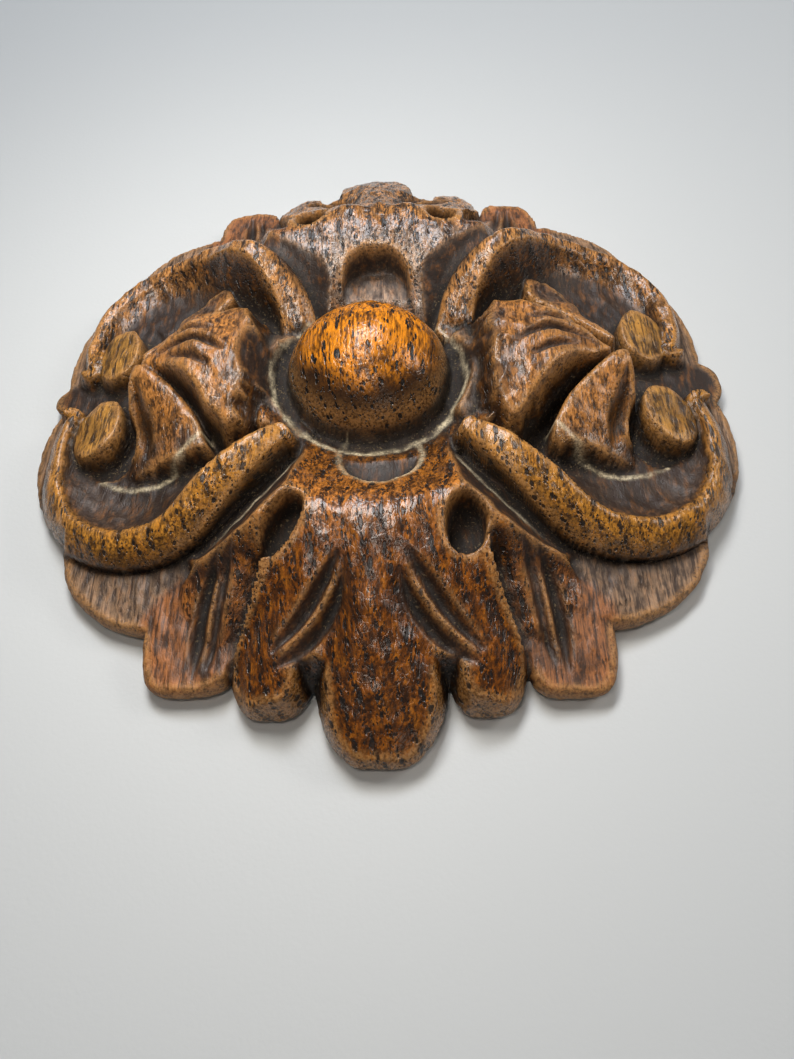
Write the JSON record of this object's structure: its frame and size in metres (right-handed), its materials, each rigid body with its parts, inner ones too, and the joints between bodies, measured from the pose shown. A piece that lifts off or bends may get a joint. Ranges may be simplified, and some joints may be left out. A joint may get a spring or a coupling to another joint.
{
  "type": "carved wood applique",
  "caption": "Domed carved oak applique with a round boss in a moat, corner scrolls with oval eyes, side leaf fans, lobed leaf tips and a flat back.",
  "frame": {"origin": "on the flat back, under the middle of the pattern", "axes": "+X to the right across the side scrolls, +Y from the near leaf tip to the far one, along the grain, +Z out of the carved face"},
  "size_m": [0.1246, 0.1352, 0.0215],
  "materials": {
    "stained_oak": "antique stained and waxed oak, worn amber on the high carving, near black with cream wax dust in the cuts"
  },
  "bodies": {
    "root": {"carved_applique": "stained_oak"}
  },
  "joints": []
}
